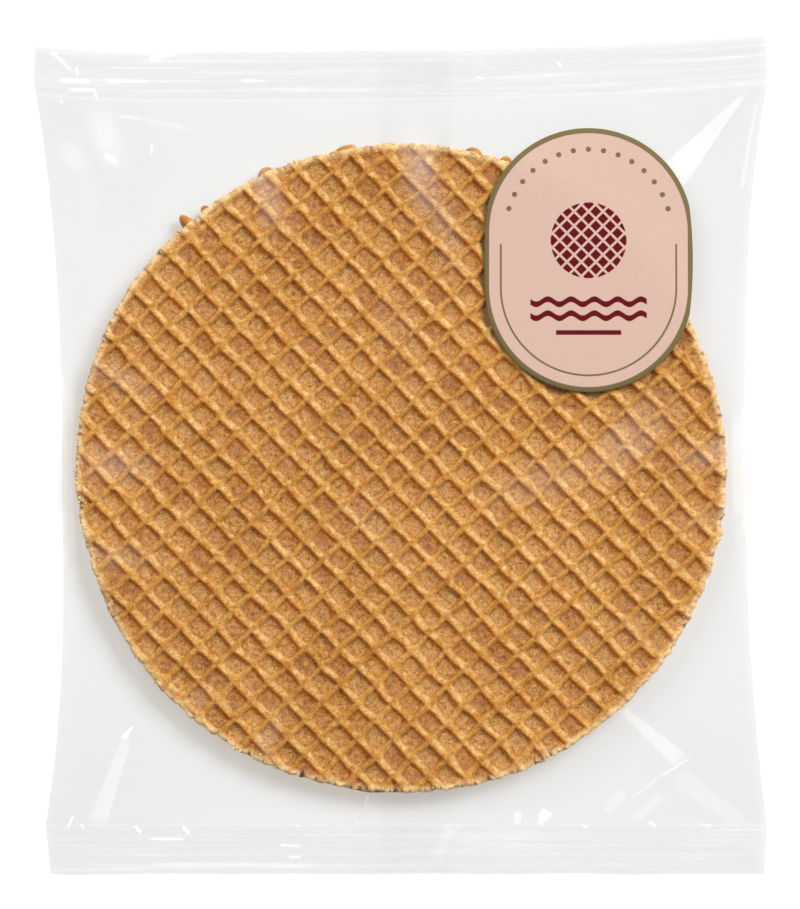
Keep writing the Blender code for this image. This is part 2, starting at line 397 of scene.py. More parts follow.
# ---------------------------------------------------------------------------------------------
# The wafers: a grid of ribs and pits pressed by the iron, cut round
# ---------------------------------------------------------------------------------------------
def wafer_tree():
    """Geometry Nodes: a sheet of cells, its pits pressed in, cut to a round and given its thickness."""
    number, whole, vector = "NodeSocketFloat", "NodeSocketInt", "NodeSocketVector"
    tree, w, given, result = new_tree("pressed_wafer", "GeometryNodeTree", {
        "Cells": (whole, 28),
        "Steps Per Cell": (whole, 12),
        "Cell Step A": (vector, None),
        "Cell Step B": (vector, None),
        "Shift A": (number, 0.0),
        "Shift B": (number, 0.0),
        "Bow A": (vector, None),
        "Bow B": (vector, None),
        "Radius": (number, 0.07),
        "Edge Swing": (number, 0.0004),
        "Edge Crumble": (number, 0.0005),
        "Pit Depth": (number, 0.001),
        "Rib B Height": (number, 0.6),
        "Waver": (number, 0.3),
        "Face Height": (number, 0.0),
        "Thickness": (number, 0.002),
        "Unevenness": (number, 0.0001),
        "Seed": (number, 0.0),
        "Material": ("NodeSocketMaterial", None),
    }, {"Geometry": ("NodeSocketGeometry", None)})

    # Plan: stations inside each cell are closest on the pit's walls.
    count = w.add(w.times(given["Cells"], given["Steps Per Cell"]), 1.0)
    sheet = w.node("GeometryNodeMeshGrid", {"Size X": given["Cells"], "Size Y": given["Cells"],
                                            "Vertices X": count, "Vertices Y": count}).outputs["Mesh"]
    place = w.node("GeometryNodeInputPosition").outputs[0]
    along = w.split(place)

    def station(value):
        cell = w.math("FLOOR", w.add(value, 1e-4))
        curve = w.node("ShaderNodeFloatCurve", {"Value": w.less(value, cell)})
        points = curve.mapping.curves[0].points
        for share, where in ((1, 0.06), (5, 0.34), (6, 0.56), (7, 0.77), (11, 0.95)):
            points.new(share / 12.0, where)
        for point in points:
            point.handle_type = "VECTOR"
        curve.mapping.update()
        return w.add(cell, curve.outputs[0])

    def keep(mesh, name, value, kind="FLOAT"):
        return w.node("GeometryNodeStoreNamedAttribute", {"Geometry": mesh, "Name": name, "Value": value},
                      data_type=kind, domain="POINT").outputs[0]

    def read(name, kind="FLOAT"):
        return w.node("GeometryNodeInputNamedAttribute", {"Name": name}, data_type=kind).outputs[0]

    sheet = keep(sheet, "cell_a", station(along[0]))
    sheet = keep(sheet, "cell_b", station(along[1]))
    cell_a, cell_b = read("cell_a"), read("cell_b")

    def lay(a, b):
        return w.vector("ADD", w.vector("SCALE", given["Cell Step A"], scale=a),
                        w.vector("SCALE", given["Cell Step B"], scale=b))

    straight = lay(w.add(cell_a, given["Shift A"]), w.add(cell_b, given["Shift B"]))
    px, py, _ = w.split(w.vector("SCALE", straight, scale=w.math("DIVIDE", 1.0, given["Radius"])))
    squares = w.join(w.times(px, px), w.times(px, py), w.times(py, py))
    bowed = w.vector("SUBTRACT", straight, lay(w.vector("DOT_PRODUCT", squares, given["Bow A"]),
                                               w.vector("DOT_PRODUCT", squares, given["Bow B"])))
    sheet = w.node("GeometryNodeSetPosition", {"Geometry": sheet, "Position": bowed}).outputs[0]

    # Round cut with a slow swing and a crumbled edge.
    seeded = w.join(0.0, 0.0, given["Seed"])
    compass = w.vector("ADD", w.vector("NORMALIZE", place), seeded)
    swing = w.times(w.less(w.noise(compass, 0.7, 1.0)[0], 0.5), given["Edge Swing"])
    bite = w.times(w.less(w.noise(compass, 0.045, 4.0, 0.72)[0], 0.5), given["Edge Crumble"])
    reach = w.add(given["Radius"], w.times(2.0, w.add(swing, bite)))
    sheet = keep(sheet, "reach", reach)
    reach = read("reach")
    outside = w.math("GREATER_THAN", w.vector("LENGTH", place), w.less(reach, 0.25 * MM))
    sheet = w.node("GeometryNodeDeleteGeometry", {"Geometry": sheet, "Selection": outside}, domain="POINT",
                   mode="ALL").outputs[0]

    def border():
        neighbours = w.node("GeometryNodeInputMeshEdgeNeighbors").outputs[0]
        return w.node("FunctionNodeCompare", {"A": neighbours, "B": 1}, data_type="INT",
                      operation="EQUAL").outputs[0]

    at_reach = w.vector("SCALE", w.vector("NORMALIZE", place), scale=reach)
    sheet = w.node("GeometryNodeSetPosition", {"Geometry": sheet, "Selection": border(),
                                               "Position": at_reach}).outputs[0]

    # Relief: two rib families, the second one lower, with wavering walls and uneven crests.
    here = w.vector("ADD", place, seeded)
    waver_a, waver_b, waver_foot = w.split(w.noise(here, 6.0 * MM, 4.0, 0.45)[1])

    def from_crest(cell, wobble):
        moved = w.add(cell, w.times(w.less(wobble, 0.5), given["Waver"]))
        return w.times(w.less(moved, w.math("ROUND", moved)), w.ramp(waver_foot, 0.3, 0.7, 0.84, 1.20))

    off_a, off_b = from_crest(cell_a, waver_a), from_crest(cell_b, waver_b)
    hollow_a = w.add(w.ramp(off_a, 0.01, 0.37), w.ramp(off_a, -0.075, -0.195))
    hollow_b = w.add(w.ramp(off_b, 0.035, 0.21), w.ramp(off_b, -0.03, -0.19))
    steep = w.times(w.ramp(off_a, 0.00, -0.07), w.ramp(off_a, -0.27, -0.18))
    ridge_a, ridge_b = w.less(1.0, hollow_a), w.less(1.0, hollow_b)
    to_rim = w.less(reach, w.vector("LENGTH", place))
    pit = w.times(hollow_a, w.less(1.0, w.times(given["Rib B Height"], ridge_b)),
                  w.ramp(to_rim, 0.2 * MM, 2.4 * MM, 0.25, 1.0))
    cell_id = w.join(w.math("FLOOR", cell_a), w.math("FLOOR", cell_b), given["Seed"])
    chance = w.node("ShaderNodeTexWhiteNoise", {"Vector": cell_id}).outputs
    rib_id = w.join(w.math("ROUND", cell_a), w.math("FLOOR", cell_b), w.add(given["Seed"], 7.0))
    rib_chance = w.node("ShaderNodeTexWhiteNoise", {"Vector": rib_id}).outputs["Value"]
    depth = w.times(given["Pit Depth"], w.ramp(chance["Value"], 0.0, 1.0, 0.84, 1.12, smooth=False))
    cross_id = w.join(w.math("FLOOR", cell_a), w.math("ROUND", cell_b), w.add(given["Seed"], 9.0))
    cross_chance = w.node("ShaderNodeTexWhiteNoise", {"Vector": cross_id}).outputs["Value"]
    dip = w.add(w.times(ridge_a, w.add(w.times(0.22 * MM, ridge_b), w.times(0.22 * MM, rib_chance, hollow_b))),
                w.times(0.38 * MM, cross_chance, ridge_b, hollow_a))
    lumps = w.less(w.noise(here, 1.3 * MM, 3.0, 0.6)[0], 0.5)
    waves = w.less(w.noise(here, 9.0 * MM, 2.0)[0], 0.5)
    rough = w.times(given["Unevenness"], w.add(w.times(lumps, 1.8), waves))
    edge_fall = w.times(w.ramp(to_rim, 1.1 * MM, 0.0), 0.14 * MM)
    height = w.less(w.add(given["Face Height"], rough), w.add(w.times(depth, pit), dip, edge_fall))
    sheet = keep(sheet, "floor", w.times(hollow_a, hollow_b))
    # ridge is an A rib's crest and its gentle flank, the side facing the light; steep is its steep wall, the side in
    # shade. The material paints a pale highlight on the first and a shade colour on the second.
    sheet = keep(sheet, "ridge", w.times(w.ramp(off_a, -0.08, -0.04), w.ramp(off_a, 0.40, 0.12), hollow_b))
    sheet = keep(sheet, "steep", w.times(steep, w.less(1.0, w.times(given["Rib B Height"], ridge_b))))
    sheet = keep(sheet, "cell_tone", chance["Value"])
    sheet = keep(sheet, "to_rim", to_rim)
    raised = w.join(w.split(place)[0], w.split(place)[1], height)
    sheet = w.node("GeometryNodeSetPosition", {"Geometry": sheet, "Position": raised}).outputs[0]

    # Cut edge: three crumbly rings down to the underside, then the underside itself.
    low = w.less(given["Face Height"], given["Thickness"])
    for ring, (share, out) in enumerate(((0.35, -0.10 * MM), (0.7, -0.25 * MM), (1.0, -0.60 * MM))):
        pulled = w.node("GeometryNodeExtrudeMesh", {"Mesh": sheet, "Selection": border(), "Offset Scale": 0.0},
                        mode="EDGES")
        crumble = w.less(w.noise(w.vector("ADD", place, (0.0, 0.0, 0.01 * ring)), 0.9 * MM, 3.0)[0], 0.5)
        ring_reach = w.add(reach, out, w.times(crumble, 0.4 * MM))
        ring_place = w.vector("SCALE", w.vector("NORMALIZE", w.vector("MULTIPLY", place, (1.0, 1.0, 0.0))),
                              scale=ring_reach)
        ring_height = w.add(w.times(w.split(place)[2], 1.0 - share), w.times(low, share))
        spot = w.vector("ADD", ring_place, w.join(0.0, 0.0, ring_height))
        sheet = w.node("GeometryNodeSetPosition", {"Geometry": pulled.outputs["Mesh"],
                                                   "Selection": pulled.outputs["Top"],
                                                   "Position": spot}).outputs[0]
    closing = w.node("GeometryNodeExtrudeMesh", {"Mesh": sheet, "Selection": border(), "Offset Scale": 0.0},
                     mode="EDGES")
    sheet = w.node("GeometryNodeSetPosition", {"Geometry": closing.outputs["Mesh"],
                                               "Selection": closing.outputs["Top"],
                                               "Position": w.join(0.0, 0.0, low)}).outputs[0]
    sheet = w.node("GeometryNodeMergeByDistance", {"Geometry": sheet, "Distance": 1e-6}).outputs[0]
    sheet = w.node("GeometryNodeSetShadeSmooth", {"Geometry": sheet, "Shade Smooth": True}).outputs[0]
    sheet = w.node("GeometryNodeRealizeInstances", {"Geometry": sheet}).outputs[0]
    painted = w.node("GeometryNodeSetMaterial", {"Geometry": sheet, "Material": given["Material"]}).outputs[0]
    w.feed(result["Geometry"], painted)
    return tree


def cell_steps():
    """The plan vectors from one cell to the next, for ribs of the stated pitch and turn."""
    rows = [[math.cos(ribs["turn"]) / ribs["pitch"], math.sin(ribs["turn"]) / ribs["pitch"]]
            for ribs in (RIBS_A, RIBS_B)]
    steps = np.linalg.inv(np.array(rows))
    return (steps[0, 0], steps[1, 0], 0.0), (steps[0, 1], steps[1, 1], 0.0)


def make_wafer(name, tree, material, radius, face, thickness, steps, seed):
    step_a, step_b = cell_steps()
    return run_tree(name, tree, {
        "Cells": CELLS_ACROSS,
        "Steps Per Cell": steps,
        "Cell Step A": step_a,
        "Cell Step B": step_b,
        "Shift A": RIBS_A["shift"],
        "Shift B": RIBS_B["shift"],
        "Bow A": RIBS_A["bow"],
        "Bow B": RIBS_B["bow"],
        "Radius": radius,
        "Edge Swing": 0.8 * MM,
        "Edge Crumble": 1.15 * MM,
        "Pit Depth": PIT_DEPTH,
        "Rib B Height": RIB_B_HEIGHT,
        "Waver": 0.34,
        "Face Height": face,
        "Thickness": thickness,
        "Unevenness": 0.20 * MM,
        "Seed": seed,
        "Material": material,
    })


def wafer_material():
    material, w, output = new_material("baked_wafer")
    place = w.node("ShaderNodeTexCoord").outputs["Object"]
    floor = w.node("ShaderNodeAttribute", attribute_name="floor").outputs["Fac"]
    ridge = w.node("ShaderNodeAttribute", attribute_name="ridge").outputs["Fac"]
    steep = w.node("ShaderNodeAttribute", attribute_name="steep").outputs["Fac"]
    tone = w.node("ShaderNodeAttribute", attribute_name="cell_tone").outputs["Fac"]
    to_rim = w.node("ShaderNodeAttribute", attribute_name="to_rim").outputs["Fac"]

    golden = w.mix(w.ramp(w.noise(place, 5.0 * MM)[0], 0.35, 0.65), srgb(204, 150, 76), srgb(190, 131, 58))
    # Pale paint on the A ribs' crests and gentle flanks: partly a pale crest, partly a painted highlight on the side
    # the light falls on.
    pale_crest_highlight = w.times(ridge, w.ramp(w.noise(place, 2.6 * MM)[0], 0.36, 0.56))
    golden = w.mix(w.times(pale_crest_highlight, 0.8), golden, srgb(216, 176, 114))
    rosy = w.mix(w.ramp(tone, 0.0, 0.55), srgb(168, 112, 70), srgb(188, 140, 86))
    patch = w.ramp(w.noise(place, 1.6 * MM, 2.0, 0.6)[0], 0.36, 0.60)
    floor_share = w.times(w.ramp(floor, 0.45, 0.95), w.add(0.35, w.times(0.65, patch)))
    colour = w.mix(floor_share, golden, rosy)
    inside = w.ramp(to_rim, 0.4 * MM, 2.4 * MM, 0.3, 1.0)
    # Painted shade: a saturated orange on the steep wall of each A rib, the side in shade, so the shade looks
    # red-brown.
    colour = w.mix(w.times(steep, inside, 0.75), colour, srgb(226, 136, 34))
    # Painted shade: darker red-brown where the pit floors meet the walls, where shade gathers.
    foot_shade = w.times(w.ramp(floor, 0.25, 0.6), w.ramp(floor, 0.95, 0.7))
    colour = w.mix(w.times(foot_shade, inside, 0.42), colour, srgb(150, 82, 28))
    grain = w.less(w.noise(place, 0.40 * MM, 2.0, 0.75)[0], 0.5)
    blotch = w.less(w.noise(place, 1.1 * MM, 2.0, 0.6)[0], 0.5)
    broad = w.less(w.noise(place, 26.0 * MM, 2.0)[0], 0.5)
    crumbs = w.node("ShaderNodeTexVoronoi", {"Vector": place, "Scale": 1.0 / (0.70 * MM)}).outputs["Distance"]
    pinholes = w.times(w.ramp(crumbs, 0.56, 0.82), w.ramp(floor, 0.3, 0.95, -0.02, -0.20))
    flecks = w.times(w.ramp(crumbs, 0.26, 0.10), w.ramp(floor, 0.3, 0.95, 0.05, 0.18))
    uneven = w.add(w.times(grain, w.ramp(floor, 0.1, 0.8, 1.3, 1.65)), w.times(blotch, 1.0),
                   w.times(broad, 0.3), pinholes, flecks)
    red, green, blue = (w.add(1.0, w.times(uneven, gain)) for gain in (1.0, 1.35, 2.4))
    colour = w.mix(1.0, colour, w.join(red, green, blue), blend="MULTIPLY")
    crumbly = w.ramp(w.noise(place, 1.6 * MM, 3.0, 0.65)[0], 0.38, 0.58, 0.40, 1.0)
    rim_pale = w.times(w.ramp(to_rim, 1.8 * MM, 0.3 * MM), crumbly)
    colour = w.mix(w.times(rim_pale, 0.95), colour, srgb(248, 214, 158))

    bump = w.node("ShaderNodeBump", {"Strength": 1.0, "Distance": 0.26 * MM,
                                     "Height": w.noise(place, 0.9 * MM, 3.0, 0.6)[0]})
    shader = w.node("ShaderNodeBsdfPrincipled", {"Base Color": colour, "Roughness": 0.55,
                                                 "Subsurface Weight": 0.25, "Subsurface Scale": 0.35 * MM,
                                                 "Subsurface Radius": (1.0, 0.35, 0.10),
                                                 "Normal": bump.outputs[0]})
    w.feed(output, shader.outputs[0])
    return material


def crumb_tree():
    """Geometry Nodes: small crumbs strewn along the broken rim of the wafer that is handed in."""
    number = "NodeSocketFloat"
    tree, w, given, result = new_tree("rim_crumbs", "GeometryNodeTree", {
        "Wafer": ("NodeSocketGeometry", None),
        "Density": (number, 3e5),
        "Rim Width": (number, 0.0006),
        "Smallest": (number, 0.0001),
        "Largest": (number, 0.0004),
        "Seed": ("NodeSocketInt", 0),
        "Material": ("NodeSocketMaterial", None),
    }, {"Geometry": ("NodeSocketGeometry", None)})
    to_rim = w.node("GeometryNodeInputNamedAttribute", {"Name": "to_rim"}, data_type="FLOAT").outputs[0]
    upward = w.split(w.node("GeometryNodeInputNormal").outputs[0])[2]
    at_rim = w.times(w.math("LESS_THAN", to_rim, given["Rim Width"]), w.math("GREATER_THAN", upward, 0.3))
    strewn = w.node("GeometryNodeDistributePointsOnFaces", {
        "Mesh": given["Wafer"], "Selection": at_rim, "Density": given["Density"], "Seed": given["Seed"]})
    lump = w.node("GeometryNodeMeshIcoSphere", {"Radius": 1.0, "Subdivisions": 2}).outputs[0]

    def chance(kind, low, high, step):
        return w.node("FunctionNodeRandomValue", {"Min": low, "Max": high, "Seed": w.add(given["Seed"], step)},
                      data_type=kind).outputs["Value"]

    share = w.math("POWER", chance("FLOAT", 0.0, 1.0, 1.0), 2.0)
    size = w.add(given["Smallest"], w.times(share, w.less(given["Largest"], given["Smallest"])))
    shape = w.vector("SCALE", chance("FLOAT_VECTOR", (0.7, 0.6, 0.35), (1.3, 1.0, 0.7), 2.0), scale=size)
    spin = chance("FLOAT_VECTOR", (-0.6, -0.6, 0.0), (0.6, 0.6, 6.28), 3.0)
    crumbs = w.node("GeometryNodeInstanceOnPoints", {"Points": strewn.outputs["Points"], "Instance": lump,
                                                     "Rotation": spin, "Scale": shape}).outputs[0]
    crumbs = w.node("GeometryNodeRealizeInstances", {"Geometry": crumbs}).outputs[0]
    place = w.node("GeometryNodeInputPosition").outputs[0]
    dent = w.vector("SCALE", w.vector("SUBTRACT", w.noise(place, 0.45 * MM, 2.0)[1], (0.5, 0.5, 0.5)), scale=0.45 * MM)
    crumbs = w.node("GeometryNodeSetPosition", {"Geometry": crumbs, "Offset": dent}).outputs[0]
    painted = w.node("GeometryNodeSetMaterial", {"Geometry": crumbs, "Material": given["Material"]}).outputs[0]
    w.feed(result["Geometry"], painted)
    return tree


def crumb_material():
    material, w, output = new_material("wafer_crumb")
    place = w.node("ShaderNodeTexCoord").outputs["Object"]
    cloud = w.ramp(w.noise(place, 1.2 * MM, 3.0)[0], 0.35, 0.65)
    colour = w.mix(cloud, srgb(216, 156, 88), srgb(244, 208, 152))
    shader = w.node("ShaderNodeBsdfPrincipled", {"Base Color": colour, "Roughness": 0.7})
    w.feed(output, shader.outputs[0])
    return material


def make_crumbs(wafer):
    crumbs = run_tree("rim_crumbs", crumb_tree(), {
        "Density": 9.0e5,
        "Rim Width": 0.5 * MM,
        "Smallest": 0.10 * MM,
        "Largest": 0.42 * MM,
        "Seed": 4,
        "Material": crumb_material(),
    }, wafer.data.copy())
    finish_piece(crumbs, ["film_bag"])


def make_wafers():
    material = wafer_material()
    tree = wafer_tree()
    middle = Matrix.Translation((*WAFFLE_CENTRE, 0.0))
    top = make_wafer("wafer_top", tree, material, WAFFLE_RADIUS - WAFER_INSET[0], TOP_WAFER_Z[1],
                     TOP_WAFER_Z[1] - TOP_WAFER_Z[0], 12, 0.0)
    top.data.transform(middle)
    bottom = make_wafer("wafer_bottom", tree, material, WAFFLE_RADIUS - WAFER_INSET[1], -BOTTOM_WAFER_Z[0],
                        BOTTOM_WAFER_Z[1] - BOTTOM_WAFER_Z[0], 7, 3.0)
    bottom.data.transform(middle @ Matrix.Rotation(math.pi, 4, "X"))
    for wafer in (top, bottom):
        face_out(wafer.data)
        finish_piece(wafer, ["film_bag"])
    make_crumbs(top)


# ---------------------------------------------------------------------------------------------
# The syrup between the wafers
# ---------------------------------------------------------------------------------------------
def syrup_material():
    material, w, output = new_material("caramel_syrup")
    place = w.node("ShaderNodeTexCoord").outputs["Object"]
    cloud = w.ramp(w.noise(place, 2.5 * MM, 3.0)[0], 0.35, 0.65)
    colour = w.mix(cloud, srgb(200, 132, 34), srgb(150, 90, 18))
    bump = w.node("ShaderNodeBump", {"Strength": 1.0, "Distance": 0.15 * MM,
                                     "Height": w.noise(place, 1.5 * MM, 2.0)[0]})
    shader = w.node("ShaderNodeBsdfPrincipled", {"Base Color": colour, "Roughness": 0.28,
                                                 "Coat Weight": 0.4, "Normal": bump.outputs[0]})
    w.feed(output, shader.outputs[0])
    return material


def syrup_reach(angle):
    """How far from the middle the syrup reaches: held back from the rim, with pressed-out drops."""
    reach = WAFFLE_RADIUS - SYRUP_INSET + np.zeros_like(angle)
    for waves, share, phase in ((7, 0.25, 0.4), (19, 0.20, 2.1), (43, 0.12, 4.0)):
        reach += share * MM * np.sin(waves * angle + phase)
    for degrees, bulge, width in SYRUP_DROPS:
        off = (angle - math.radians(degrees) + math.pi) % (2.0 * math.pi) - math.pi
        near = np.clip(np.abs(off) * WAFFLE_RADIUS / width, 0.0, 1.0)
        reach += bulge * np.sqrt(1.0 - near ** 2)
    return reach


def make_syrup():
    angle = np.linspace(0.0, 2.0 * math.pi, 1440, endpoint=False)
    reach = syrup_reach(angle)
    middle = 0.5 * (SYRUP_Z[0] + SYRUP_Z[1])
    rings = []
    for lift in np.radians(np.linspace(-90.0, 90.0, 9)):
        bulge = np.clip(reach - WAFFLE_RADIUS + SYRUP_INSET, 0.3 * MM, None)
        radius = reach - bulge * (1.0 - math.cos(lift))
        swell = 0.5 * (SYRUP_Z[1] - SYRUP_Z[0]) + 0.35 * np.clip(bulge - 0.5 * MM, 0.0, None)
        rings.append(np.stack((WAFFLE_CENTRE[0] + radius * np.cos(angle), WAFFLE_CENTRE[1] + radius * np.sin(angle),
                               middle + swell * math.sin(lift)), axis=-1))
    syrup = ringed_piece("syrup_layer", rings, syrup_material())
    finish_piece(syrup, ["film_bag"])


# ---------------------------------------------------------------------------------------------
# The film: a pillow between two end seals, stretched over the waffle
# ---------------------------------------------------------------------------------------------
def side_edge(side, y):
    """X of the bag's left (-1) or right (1) edge at a place along the bag, waisted between the seals."""
    half_width = np.zeros_like(y, dtype=float)
    for end in (-1, 1):
        seal_line = CUT_HALF_LENGTH - SEAL_LENGTH
        to_seal = seal_line - end * WAIST_PLACE[side]
        share = np.clip(end * (y - WAIST_PLACE[side]) / to_seal, 0.0, 1.0)
        into_seal = np.clip((end * y - seal_line) / SEAL_LENGTH, 0.0, 1.0)
        flare = END_HALF_WIDTH[side, end] - WAIST_HALF_WIDTH[side]
        half_width = half_width + flare * share ** FLARE_POWER[end] - CUT_INSET[side, end] * into_seal
    return side * (WAIST_HALF_WIDTH[side] + half_width)


def top_cut(x):
    """Y of the cut edge of the top seal, which rises to the right corner and a little to the left one."""
    across = np.clip(0.5 + 0.5 * x / END_HALF_WIDTH[1, 1], 0.0, 1.0)
    rise, run = TOP_LEFT_RISE
    left = np.clip(1.0 - (x + END_HALF_WIDTH[-1, 1]) / run, 0.0, 1.0)
    return CUT_HALF_LENGTH - TOP_CUT_DROP * (1.0 - across ** TOP_CUT_BEND) + rise * left ** 2


def to_cut(x, y):
    """Distance to the nearer cut end."""
    return np.minimum(y + CUT_HALF_LENGTH, top_cut(x) - y)


def round_off(share):
    """Bend a share over smoothly where it passes 1, at the waffle's rim."""
    return 0.5 * (1.0 + share - np.hypot(1.0 - share, RIM_ROUNDING))


def label_distance(x, y):
    """Distance outside the sticker's outline; negative on the sticker."""
    beyond = np.clip(np.abs(y - LABEL_CENTRE[1]) - LABEL_STRAIGHT / 2, 0.0, None)
    return np.hypot(x - LABEL_CENTRE[0], beyond) - LABEL_RADIUS


def tent_share(x, y):
    """How high the film stands: 1 over the waffle, 0 at the side folds and the seals' inner lines."""
    side_room = np.clip(np.minimum(x - side_edge(-1, y), side_edge(1, y) - x), 1e-9, None)
    end_room = np.clip(to_cut(x, y) - SEAL_LENGTH, 1e-9, None)
    room = side_room * end_room / np.hypot(side_room, end_room)
    beyond_waffle = np.hypot(x - WAFFLE_CENTRE[0], y - WAFFLE_CENTRE[1]) - WAFFLE_RADIUS
    share = room / (room + np.maximum(beyond_waffle, -RIM_REACH * room))
    share = np.clip(round_off(share) / round_off(1.0 / (1.0 - RIM_REACH)), 0.0, None)
    held = np.clip(1.0 - label_distance(x, y) / LABEL_HOLD, 0.0, 1.0)
    return share + (1.0 - share) * LABEL_STIFFNESS * held ** 2 * (3.0 - 2.0 * held)


def soft_waves(x, y, count, shortest, longest, seed):
    """Sum of gentle waves of many lengths and directions, between about -1 and 1."""
    chance = np.random.default_rng(seed)
    total = np.zeros_like(x)
    for _ in range(count):
        length = shortest * (longest / shortest) ** chance.random()
        turn = 2.0 * math.pi * chance.random()
        phase = 2.0 * math.pi * chance.random()
        total += np.sin((x * math.cos(turn) + y * math.sin(turn)) * 2.0 * math.pi / length + phase)
    return total / math.sqrt(2.0 * count)


def across_fold(x, y, start, end, widths):
    """Each place's share of the way along a straight fold, and of its half width across it."""
    start, end = np.array(start) * MM, np.array(end) * MM
    run = end - start
    length = math.hypot(*run)
    along = ((x - start[0]) * run[0] + (y - start[1]) * run[1]) / length ** 2
    off = ((y - start[1]) * run[0] - (x - start[0]) * run[1]) / length
    half_width = 0.5 * MM * (widths[0] + (widths[1] - widths[0]) * np.clip(along, 0.0, 1.0))
    return along, off / half_width


def fade_ends(along, share):
    return np.clip(along / share, 0.0, 1.0) * np.clip((1.0 - along) / share, 0.0, 1.0)


def fold_relief(x, y):
    """Height that the facets and pulls add to the upper film, and the pulls' painted highlight."""
    height, pull_highlight = np.zeros_like(x), np.zeros_like(x)
    for start, end, widths, _, _ in (facet for corner in FACETS.values() for facet in corner if max(facet[2]) > 2.0):
        along, across = across_fold(x, y, start, end, widths)
        height += 0.05 * MM * fade_ends(along, 0.15) * np.clip(1.0 - np.abs(across), 0.0, None)
    for start, end, width, highlight_strength in PULLS:
        along, across = across_fold(x, y, start, end, (width, width * 0.8))
        swell = fade_ends(along, 0.5) * np.clip(1.0 - across ** 2, 0.0, None) ** 2
        height += 0.05 * MM * swell
        pull_highlight = pull_highlight + highlight_strength * swell
    return height, pull_highlight


def rim_wrinkles(x, y):
    """Fine radial wrinkles from the waffle's rim out to the folds."""
    dx, dy = x - WAFFLE_CENTRE[0], y - WAFFLE_CENTRE[1]
    angle, beyond = np.arctan2(dy, dx), np.hypot(dx, dy) - WAFFLE_RADIUS
    envelope = np.clip(1.0 - np.abs(beyond - 6.0 * MM) / (16.0 * MM), 0.0, None) ** 1.5
    wrinkles = np.zeros_like(x)
    for waves, phase, turn in ((23, 0.3, 1.9), (37, 2.2, 4.4), (53, 5.1, 0.8)):
        wrinkles += np.sin(waves * angle + phase) * np.clip(np.sin(3.0 * angle + turn), 0.0, None)
    return 0.10 * MM * envelope * wrinkles


def seal_share(x, y):
    """1 inside the end seals, falling to 0 over a short way into the bag."""
    return np.clip(1.0 - (to_cut(x, y) - SEAL_LENGTH) / (1.2 * MM), 0.0, 1.0)


def seal_relief(x, y):
    """Height of the crimped ribs, strong in some stretches and faint in others."""
    stretch = np.clip(0.55 + 0.6 * soft_waves(x, 6.0 * y, 14, 14 * MM, 60 * MM, 21), 0.0, 1.0)
    wave = np.sin(2.0 * math.pi * RIBS_PER_SEAL * to_cut(x, y) / SEAL_LENGTH)
    return RIB_HEIGHT * seal_share(x, y) * wave * (0.4 + 0.6 * stretch)


def seal_flutter(x, y):
    """Slow rise and fall of the thin sealed ends."""
    return 0.35 * MM * np.clip(1.0 - to_cut(x, y) / (16.0 * MM), 0.0, 1.0) * soft_waves(x, y, 8, 40 * MM, 90 * MM, 5)


def film_rows():
    """Shares of the bag's length at which the film is divided, finer across the two seals."""
    seal = SEAL_LENGTH / (2.0 * CUT_HALF_LENGTH)
    near_end = np.linspace(0.0, seal, FILM_SEAL_STEPS, endpoint=False)
    body = np.linspace(seal, 1.0 - seal, FILM_BODY_STEPS + 1)
    return np.concatenate((near_end, body, 1.0 - near_end[::-1]))


def back_height(x, y):
    """Height of the lower film, flat on the table under the waffle."""
    lift = np.clip(1.0 - tent_share(x, y) - UNDERSIDE_FLAT, 0.0, None) / (1.0 - UNDERSIDE_FLAT)
    raised = FOLD_HEIGHT - 0.5 * SEAL_THICKNESS + seal_flutter(x, y) - FILM_UNDER_WAFFLE
    return FILM_UNDER_WAFFLE + raised * lift ** 2


def front_height(x, y):
    """Height of the upper film without its creases."""
    fold = FOLD_HEIGHT + 0.5 * SEAL_THICKNESS + seal_flutter(x, y)
    return fold + (FILM_OVER_WAFFLE - fold) * tent_share(x, y)


def facet_highlight(w, place, start, end, widths, soft, strength):
    """Painted highlight of one facet; place is (x, y, 1), so that one dot product gives any linear measure of it."""
    (x0, y0), (x1, y1) = start, end
    length = math.dist(start, end)
    ux, uy = (x1 - x0) / length, (y1 - y0) / length
    middle = 0.5 * ((x0 + x1) * ux + (y0 + y1) * uy)
    grow = (widths[1] - widths[0]) / length
    half = 0.25 * (widths[0] + widths[1])
    along = w.vector("DOT_PRODUCT", place, (2000.0 * ux / length, 2000.0 * uy / length, -2.0 * middle / length))
    off = w.vector("DOT_PRODUCT", place, (-1000.0 * uy, 1000.0 * ux, x0 * uy - y0 * ux))
    half_width = w.vector("DOT_PRODUCT", place, (500.0 * grow * ux, 500.0 * grow * uy, half - 0.5 * grow * middle))
    across = w.math("ABSOLUTE", w.math("DIVIDE", off, half_width))
    sides = w.ramp(across, 1.0, 1.0 - soft)
    ends = w.ramp(w.math("ABSOLUTE", along), 1.0, 0.7, 0.0, strength)
    return w.times(sides, ends)


